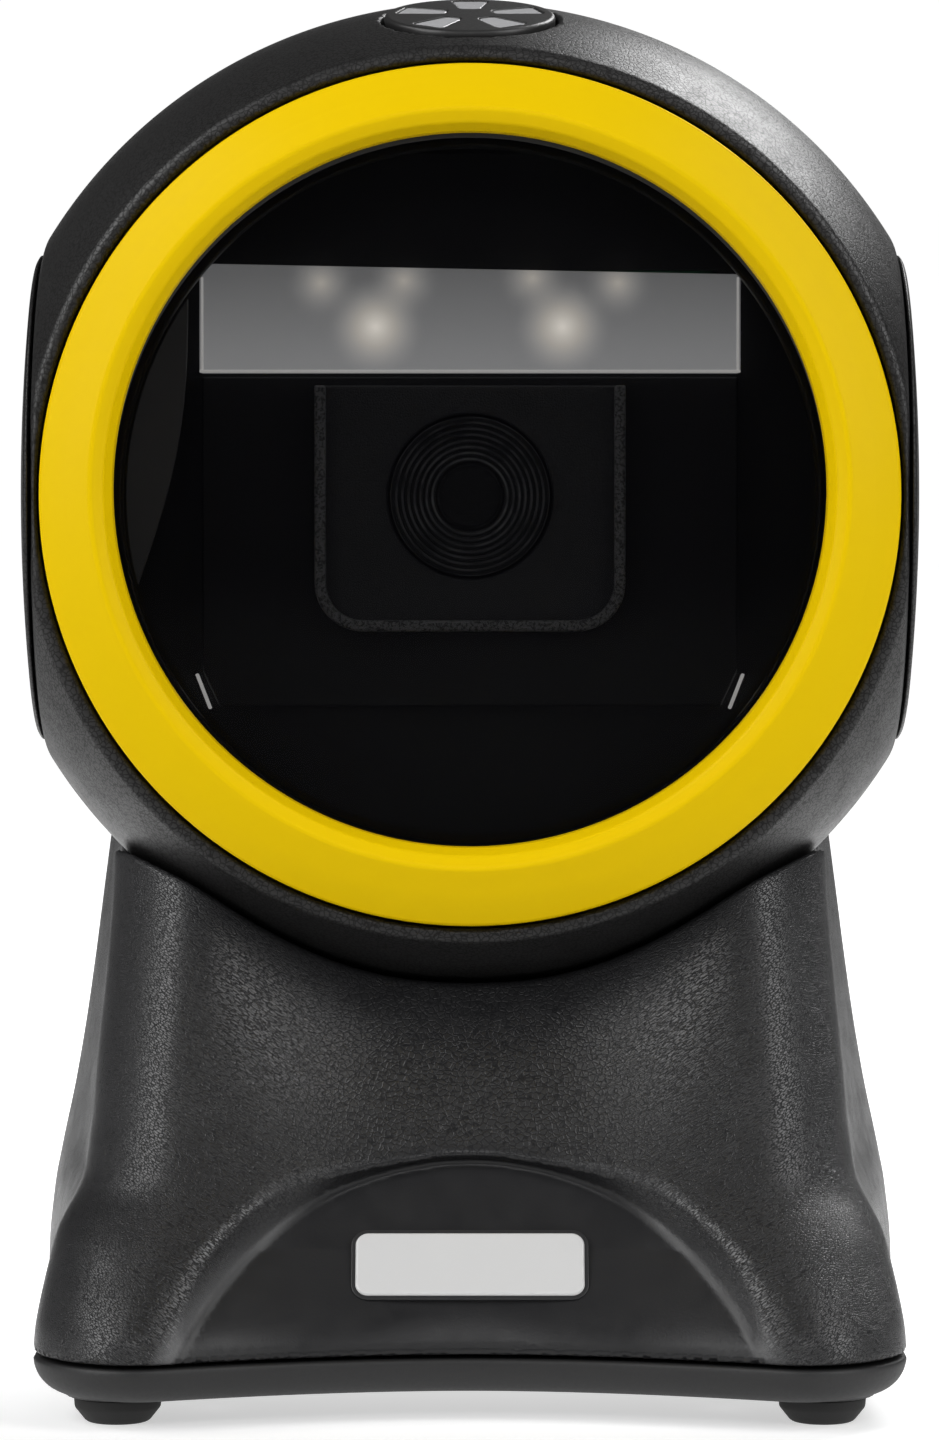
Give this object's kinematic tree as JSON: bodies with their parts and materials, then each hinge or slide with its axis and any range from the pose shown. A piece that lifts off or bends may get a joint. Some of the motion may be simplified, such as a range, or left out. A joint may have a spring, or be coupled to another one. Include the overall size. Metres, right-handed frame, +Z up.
{
  "type": "desktop omnidirectional barcode scanner",
  "caption": "Hands-free countertop code reader: a round tilting head with a ring-framed window and a top button, held in a cup-shaped weighted base on rubber feet.",
  "frame": {"origin": "on the table, under the middle of the bounding box", "axes": "+Z up; the scan window faces -Y; +X is to the right as seen from the front; the tilt axis runs along X"},
  "size_m": [0.0938, 0.0936, 0.1445],
  "materials": {
    "housing": "fine leather-like moulded grain, satin",
    "base": "pebbled moulded grain, satin, smooth in the arch and on the plate",
    "yellow_ring": "smooth semi-gloss",
    "window": "polished, smoke tinted",
    "lens_glass": "polished, coated",
    "rubber": "matt",
    "inner_black": "matt",
    "diffuser": "frosted",
    "light_guide": "pearly, semi-gloss",
    "silver_plate": "smooth, silver white",
    "circuit_board": "solder mask",
    "steel": "plated",
    "ballast": "rough, blackened"
  },
  "bodies": {
    "base": {"base_shell": "base", "base_plate": "base", "name_plate": "silver_plate", "rubber_foot_1": "rubber", "rubber_foot_2": "rubber", "rubber_foot_3": "rubber", "rubber_foot_4": "rubber", "base_screw_1": "steel", "base_screw_2": "steel", "base_screw_3": "steel", "base_screw_4": "steel", "ballast_plate": "ballast", "tilt_arm": "steel", "arm_screw_1": "steel", "arm_screw_2": "steel", "interface_socket": "inner_black", "socket_board": "circuit_board", "harness": "rubber"},
    "head": {"front_housing": "housing", "rear_housing": "housing", "side_cap_left": "housing", "side_cap_right": "housing", "bezel_ring": "yellow_ring", "window_gasket": "rubber", "scan_window": "window", "head_screw_1": "steel", "head_screw_2": "steel", "head_screw_3": "steel", "head_screw_4": "steel", "light_diffuser": "diffuser", "optics_panel": "inner_black", "engine_shroud": "inner_black", "lens_barrel": "inner_black", "lens": "lens_glass", "camera_housing": "inner_black", "image_sensor": "inner_black", "sensor_board": "circuit_board", "led_board": "circuit_board", "optics_carrier": "inner_black", "panel_clip_left": "steel", "panel_clip_right": "steel", "carrier_screw_1": "steel", "carrier_screw_2": "steel", "carrier_screw_3": "steel", "main_board": "circuit_board", "processor_can": "steel", "buzzer": "inner_black", "main_board_screw_1": "steel", "main_board_screw_2": "steel", "hinge_bracket": "steel", "pivot_pin": "steel", "lock_nut": "steel", "friction_washer_left": "rubber", "friction_washer_right": "rubber", "bracket_screw_left": "steel", "bracket_screw_right": "steel", "switch_board": "circuit_board", "tact_switch": "inner_black"},
    "button": {"top_button": "housing", "light_guide": "light_guide"}
  },
  "joints": [
    {"name": "head_tilt", "type": "hinge", "parent": "base", "child": "head", "pos_m": [0, 0, 0.0925], "axis": [1, 0, 0], "range_deg": [-15, 15], "deforming": ["harness"]},
    {"name": "button_press", "type": "slide", "parent": "head", "child": "button", "axis": [0, 0.2756, -0.9613], "range_m": [0, 0.0008], "stiffness_N_per_m": 1500, "springref_m": -0.0005}
  ]
}
